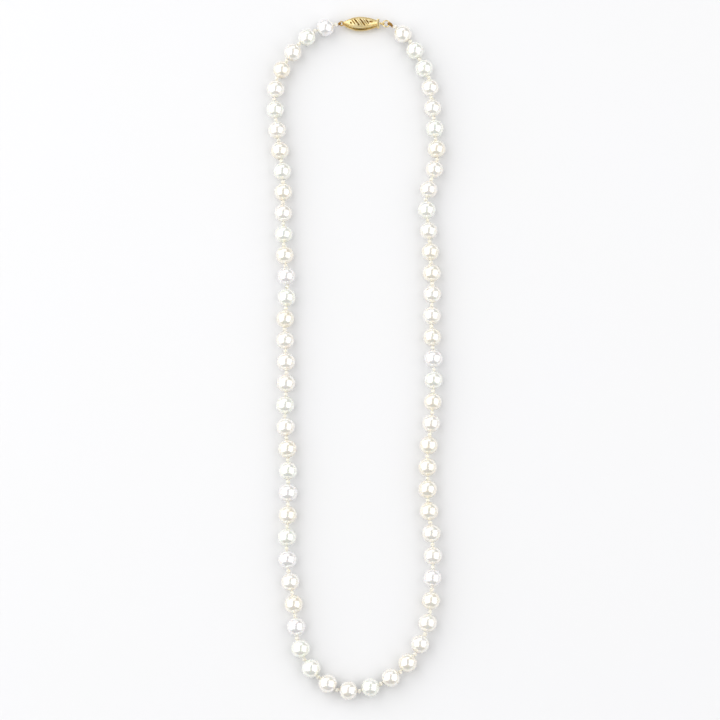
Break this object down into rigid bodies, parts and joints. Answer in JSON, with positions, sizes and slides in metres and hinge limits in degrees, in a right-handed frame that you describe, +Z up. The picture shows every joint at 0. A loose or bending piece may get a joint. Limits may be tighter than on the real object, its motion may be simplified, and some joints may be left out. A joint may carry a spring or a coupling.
{
  "type": "pearl necklace",
  "caption": "Flat-laid loop of round pearls knotted on silk, closed by a marquise fish-hook clasp with a pierced top, a jump ring and coiled wire ends.",
  "frame": {"origin": "middle of the bottom of the whole necklace lying flat, on the surface it lies on", "axes": "+Y from the bottom of the loop to the clasp, +X towards the jump ring end of the clasp, +Z up off the surface"},
  "size_m": [0.0543, 0.2084, 0.0054],
  "materials": {
    "nacre": "polished nacre, soft satin lustre",
    "gold": "polished yellow gold",
    "gilt_wire": "fine coiled gilt wire",
    "silk": "twisted silk, knotted"
  },
  "bodies": {
    "case": {"case_top": "gold", "case_base": "gold", "case_end_block": "gold", "case_eye": "gold", "catch_bar": "gold"},
    "hook": {"hook_tongue": "gold"},
    "leaf": {"thumb_leaf": "gold"},
    "jump_ring": {"jump_ring": "gold"},
    "ring_bullion": {"ring_bullion": "gilt_wire"},
    "hook_bullion": {"hook_bullion": "gilt_wire", "end_knot": "silk"},
    "pearl_01": {"pearl_01": "nacre", "pearls_02_03": "nacre"},
    "pearls_04_05": {"pearls_04_05": "nacre"},
    "pearls_06_07": {"pearls_06_07": "nacre"},
    "pearls_08_09": {"pearls_08_09": "nacre"},
    "pearls_10_11": {"pearls_10_11": "nacre"},
    "pearls_12_13": {"pearls_12_13": "nacre"},
    "pearls_14_15": {"pearls_14_15": "nacre"},
    "pearls_16_17": {"pearls_16_17": "nacre"},
    "pearls_18_19": {"pearls_18_19": "nacre"},
    "pearls_20_21": {"pearls_20_21": "nacre"},
    "pearls_22_23": {"pearls_22_23": "nacre"},
    "pearls_24_25": {"pearls_24_25": "nacre"},
    "pearl_26": {"pearl_26": "nacre", "pearl_27": "nacre"},
    "pearl_28": {"pearl_28": "nacre", "pearl_29": "nacre"},
    "pearl_30": {"pearl_30": "nacre", "pearl_31": "nacre"},
    "pearl_32": {"pearl_32": "nacre", "pearl_33": "nacre", "pearl_34": "nacre", "pearl_35": "nacre"},
    "pearl_36": {"pearl_36": "nacre", "pearl_37": "nacre"},
    "pearl_38": {"pearl_38": "nacre", "pearl_39": "nacre"},
    "pearl_40": {"pearl_40": "nacre", "pearl_41": "nacre"},
    "pearls_42_43": {"pearls_42_43": "nacre"},
    "pearls_44_45": {"pearls_44_45": "nacre"},
    "pearls_46_47": {"pearls_46_47": "nacre"},
    "pearls_48_49": {"pearls_48_49": "nacre"},
    "pearls_50_51": {"pearls_50_51": "nacre"},
    "pearls_52_53": {"pearls_52_53": "nacre"},
    "pearls_54_55": {"pearls_54_55": "nacre"},
    "pearls_56_57": {"pearls_56_57": "nacre"},
    "pearl_58": {"pearl_58": "nacre"},
    "pearl_59": {"pearl_59": "nacre", "pearl_60": "nacre"},
    "pearl_61": {"pearl_61": "nacre"},
    "pearl_62": {"pearl_62": "nacre"},
    "pearl_63": {"pearl_63": "nacre"},
    "pearl_64": {"pearl_64": "nacre"},
    "pearl_65": {"pearl_65": "nacre"},
    "pearl_66": {"pearl_66": "nacre"},
    "pearl_67": {"pearl_67": "nacre"}
  },
  "joints": [
    {"name": "clasp_hook_slide", "type": "slide", "parent": "case", "child": "hook", "axis": [-1, 0, 0], "range_m": [0, 0.0075]},
    {"name": "clasp_leaf_press", "type": "hinge", "parent": "hook", "child": "leaf", "pos_m": [0.0012, 0.1023, 0.00226], "axis": [0, 1, 0], "range_deg": [-2.5, 0], "stiffness_Nm_per_rad": 0.01},
    {"name": "necklace_lift", "type": "hinge", "parent": "case", "child": "ring_bullion", "pos_m": [0.01052, 0.1023, 0.00175], "axis": [-1, 0, 0], "range_deg": [0, 40]},
    {"name": "jump_ring_swing", "type": "hinge", "parent": "case", "child": "jump_ring", "pos_m": [0.00882, 0.1023, 0.00175], "axis": [-1, 0, 0], "range_deg": [-0.5, 20.5]},
    {"name": "hook_bullion_swing", "type": "hinge", "parent": "hook", "child": "hook_bullion", "pos_m": [-0.0047, 0.1023, 0.00175], "axis": [-1, 0, 0], "range_deg": [-1, 41]},
    {"name": "strand_fold_01", "type": "hinge", "parent": "pearls_08_09", "child": "pearls_10_11", "pos_m": [0.02125, 0.04584, 0.0027], "axis": [0.9998, 0.0223, 0], "range_deg": [-50, 50]},
    {"name": "strand_fold_02", "type": "hinge", "parent": "pearls_10_11", "child": "pearls_12_13", "pos_m": [0.02235, 0.0328, 0.0027], "axis": [-0.9997, -0.0235, 0], "range_deg": [-50, 50]},
    {"name": "strand_fold_03", "type": "hinge", "parent": "pearls_12_13", "child": "pearls_14_15", "pos_m": [0.02307, 0.01969, 0.0027], "axis": [-0.9997, -0.0225, 0], "range_deg": [-50, 50]},
    {"name": "strand_fold_04", "type": "hinge", "parent": "pearls_14_15", "child": "pearls_16_17", "pos_m": [0.02275, 0.00655, 0.0027], "axis": [0.9998, 0.0218, 0], "range_deg": [-50, 50]},
    {"name": "strand_fold_05", "type": "hinge", "parent": "pearls_16_17", "child": "pearls_18_19", "pos_m": [0.0234, -0.00656, 0.0027], "axis": [0.9998, 0.0221, 0], "range_deg": [-50, 50]},
    {"name": "strand_fold_06", "type": "hinge", "parent": "pearls_18_19", "child": "pearls_20_21", "pos_m": [0.02278, -0.01965, 0.0027], "axis": [-0.9997, -0.0232, 0], "range_deg": [-50, 50]},
    {"name": "strand_fold_07", "type": "hinge", "parent": "pearls_20_21", "child": "pearls_22_23", "pos_m": [0.02128, -0.0327, 0.0027], "axis": [-0.9997, -0.0257, 0], "range_deg": [-50, 50]},
    {"name": "strand_fold_08", "type": "hinge", "parent": "pearls_22_23", "child": "pearls_24_25", "pos_m": [0.02129, -0.04581, 0.0027], "axis": [0.9997, 0.0264, 0], "range_deg": [-50, 50]},
    {"name": "strand_fold_09", "type": "hinge", "parent": "pearls_24_25", "child": "pearl_26", "pos_m": [0.02263, -0.05887, 0.0027], "axis": [0.9996, 0.0271, 0], "range_deg": [-50, 50]},
    {"name": "strand_fold_10", "type": "hinge", "parent": "pearl_26", "child": "pearl_28", "pos_m": [0.02232, -0.072, 0.0027], "axis": [-0.9997, -0.0258, 0], "range_deg": [-40, 40]},
    {"name": "strand_fold_11", "type": "hinge", "parent": "pearl_28", "child": "pearl_30", "pos_m": [0.02032, -0.08495, 0.0027], "axis": [-0.9995, -0.0308, 0], "range_deg": [-40, 40]},
    {"name": "strand_fold_12", "type": "hinge", "parent": "pearl_30", "child": "pearl_32", "pos_m": [0.01307, -0.09577, 0.0027], "axis": [0.9977, 0.0681, 0], "range_deg": [-40, 40]},
    {"name": "strand_fold_01_far_side", "type": "hinge", "parent": "pearls_56_57", "child": "pearl_58", "pos_m": [-0.02167, 0.04488, 0.0027], "axis": [0.9998, 0.0223, 0], "range_deg": [-50.5, 50.5]},
    {"name": "strand_fold_02_far_side", "type": "hinge", "parent": "pearls_54_55", "child": "pearls_56_57", "pos_m": [-0.02134, 0.03178, 0.0027], "axis": [-0.9997, -0.0235, 0], "range_deg": [-50.5, 50.5]},
    {"name": "strand_fold_03_far_side", "type": "hinge", "parent": "pearls_52_53", "child": "pearls_54_55", "pos_m": [-0.02025, 0.01871, 0.0027], "axis": [-0.9997, -0.0225, 0], "range_deg": [-50.5, 50.5]},
    {"name": "strand_fold_04_far_side", "type": "hinge", "parent": "pearls_50_51", "child": "pearls_52_53", "pos_m": [-0.02097, 0.0056, 0.0027], "axis": [0.9998, 0.0218, 0], "range_deg": [-50.5, 50.5]},
    {"name": "strand_fold_05_far_side", "type": "hinge", "parent": "pearls_48_49", "child": "pearls_50_51", "pos_m": [-0.0203, -0.00752, 0.0027], "axis": [0.9998, 0.0221, 0], "range_deg": [-50.5, 50.5]},
    {"name": "strand_fold_06_far_side", "type": "hinge", "parent": "pearls_46_47", "child": "pearls_48_49", "pos_m": [-0.0207, -0.02066, 0.0027], "axis": [-0.9997, -0.0232, 0], "range_deg": [-50.5, 50.5]},
    {"name": "strand_fold_07_far_side", "type": "hinge", "parent": "pearls_44_45", "child": "pearls_46_47", "pos_m": [-0.01963, -0.03375, 0.0027], "axis": [-0.9997, -0.0257, 0], "range_deg": [-50.5, 50.5]},
    {"name": "strand_fold_08_far_side", "type": "hinge", "parent": "pearls_42_43", "child": "pearls_44_45", "pos_m": [-0.01959, -0.04689, 0.0027], "axis": [0.9997, 0.0264, 0], "range_deg": [-50.5, 50.5]},
    {"name": "strand_fold_09_far_side", "type": "hinge", "parent": "pearl_40", "child": "pearls_42_43", "pos_m": [-0.0199, -0.06003, 0.0027], "axis": [0.9996, 0.0271, 0], "range_deg": [-50.5, 50.5]},
    {"name": "strand_fold_10_far_side", "type": "hinge", "parent": "pearl_38", "child": "pearl_40", "pos_m": [-0.01823, -0.07305, 0.0027], "axis": [-0.9997, -0.0258, 0], "range_deg": [-40.5, 40.5]},
    {"name": "strand_fold_11_far_side", "type": "hinge", "parent": "pearl_36", "child": "pearl_38", "pos_m": [-0.01671, -0.08609, 0.0027], "axis": [-0.9995, -0.0308, 0], "range_deg": [-40.5, 40.5]},
    {"name": "strand_fold_12_far_side", "type": "hinge", "parent": "pearl_32", "child": "pearl_36", "pos_m": [-0.01055, -0.09738, 0.0027], "axis": [0.9977, 0.0681, 0], "range_deg": [-40.5, 40.5]},
    {"name": "shoulder_sway_01", "type": "hinge", "parent": "ring_bullion", "child": "pearl_01", "pos_m": [0.0123, 0.1009, 0.0027], "axis": [0, 0, 1], "range_deg": [-4.1, 4.1]},
    {"name": "shoulder_sway_02", "type": "hinge", "parent": "pearl_01", "child": "pearls_04_05", "pos_m": [0.02241, 0.08456, 0.0027], "axis": [0, 0, 1], "range_deg": [-11.3, 11.3]},
    {"name": "shoulder_sway_03", "type": "hinge", "parent": "pearls_04_05", "child": "pearls_06_07", "pos_m": [0.02386, 0.07151, 0.0027], "axis": [0, 0, 1], "range_deg": [-7.5, 7.5]},
    {"name": "shoulder_sway", "type": "hinge", "parent": "pearls_06_07", "child": "pearls_08_09", "pos_m": [0.02483, 0.05847, 0.0027], "axis": [0, 0, 1], "range_deg": [-15, 15]},
    {"name": "shoulder_sway_05", "type": "hinge", "parent": "pearl_58", "child": "pearl_59", "pos_m": [-0.02166, 0.05145, 0.0027], "axis": [0, 0, 1], "range_deg": [-17.7, 17.7]},
    {"name": "shoulder_sway_06", "type": "hinge", "parent": "pearl_59", "child": "pearl_61", "pos_m": [-0.0232, 0.06449, 0.0027], "axis": [0, 0, 1], "range_deg": [-16.9, 16.9]},
    {"name": "hook_side_bend_1", "type": "hinge", "parent": "pearl_61", "child": "pearl_62", "pos_m": [-0.02404, 0.07101, 0.0027], "axis": [0, 0, 1], "range_deg": [-0.5, 20.5]},
    {"name": "hook_side_bend_2", "type": "hinge", "parent": "pearl_62", "child": "pearl_63", "pos_m": [-0.02455, 0.07756, 0.0027], "axis": [0, 0, 1], "range_deg": [-1.5, 0.5]},
    {"name": "hook_side_bend_3", "type": "hinge", "parent": "pearl_63", "child": "pearl_64", "pos_m": [-0.02382, 0.08406, 0.0027], "axis": [0, 0, 1], "range_deg": [-4.6, 0.5]},
    {"name": "hook_side_bend_4", "type": "hinge", "parent": "pearl_64", "child": "pearl_65", "pos_m": [-0.0209, 0.08991, 0.0027], "axis": [0, 0, 1], "range_deg": [-2.9, 0.5]},
    {"name": "hook_side_bend_5", "type": "hinge", "parent": "pearl_65", "child": "pearl_66", "pos_m": [-0.01714, 0.0953, 0.0027], "axis": [0, 0, 1], "range_deg": [-5.7, 0.5]},
    {"name": "hook_side_bend_6", "type": "hinge", "parent": "pearl_66", "child": "pearl_67", "pos_m": [-0.01224, 0.09962, 0.0027], "axis": [0, 0, 1], "range_deg": [-20.1, 0.5]}
  ],
  "couplings": [
    {"joint": "jump_ring_swing", "follows": "necklace_lift", "ratio": 0.5},
    {"joint": "hook_bullion_swing", "follows": "necklace_lift", "ratio": 1},
    {"joint": "strand_fold_01_far_side", "follows": "strand_fold_01", "ratio": -1},
    {"joint": "strand_fold_02_far_side", "follows": "strand_fold_02", "ratio": -1},
    {"joint": "strand_fold_03_far_side", "follows": "strand_fold_03", "ratio": -1},
    {"joint": "strand_fold_04_far_side", "follows": "strand_fold_04", "ratio": -1},
    {"joint": "strand_fold_05_far_side", "follows": "strand_fold_05", "ratio": -1},
    {"joint": "strand_fold_06_far_side", "follows": "strand_fold_06", "ratio": -1},
    {"joint": "strand_fold_07_far_side", "follows": "strand_fold_07", "ratio": -1},
    {"joint": "strand_fold_08_far_side", "follows": "strand_fold_08", "ratio": -1},
    {"joint": "strand_fold_09_far_side", "follows": "strand_fold_09", "ratio": -1},
    {"joint": "strand_fold_10_far_side", "follows": "strand_fold_10", "ratio": -1},
    {"joint": "strand_fold_11_far_side", "follows": "strand_fold_11", "ratio": -1},
    {"joint": "strand_fold_12_far_side", "follows": "strand_fold_12", "ratio": -1},
    {"joint": "shoulder_sway_01", "follows": "shoulder_sway", "ratio": 0.2421},
    {"joint": "shoulder_sway_02", "follows": "shoulder_sway", "ratio": -0.7192},
    {"joint": "shoulder_sway_03", "follows": "shoulder_sway", "ratio": -0.4687},
    {"joint": "shoulder_sway_05", "follows": "shoulder_sway", "ratio": -1.1485},
    {"joint": "shoulder_sway_06", "follows": "shoulder_sway", "ratio": 1.0943},
    {"joint": "hook_side_bend_1", "follows": "clasp_hook_slide", "rad_per_m": 46.641},
    {"joint": "hook_side_bend_2", "follows": "clasp_hook_slide", "rad_per_m": -2.4156},
    {"joint": "hook_side_bend_3", "follows": "clasp_hook_slide", "rad_per_m": -9.6424},
    {"joint": "hook_side_bend_4", "follows": "clasp_hook_slide", "rad_per_m": -5.5738},
    {"joint": "hook_side_bend_5", "follows": "clasp_hook_slide", "rad_per_m": -12.117},
    {"joint": "hook_side_bend_6", "follows": "clasp_hook_slide", "rad_per_m": -45.535}
  ]
}
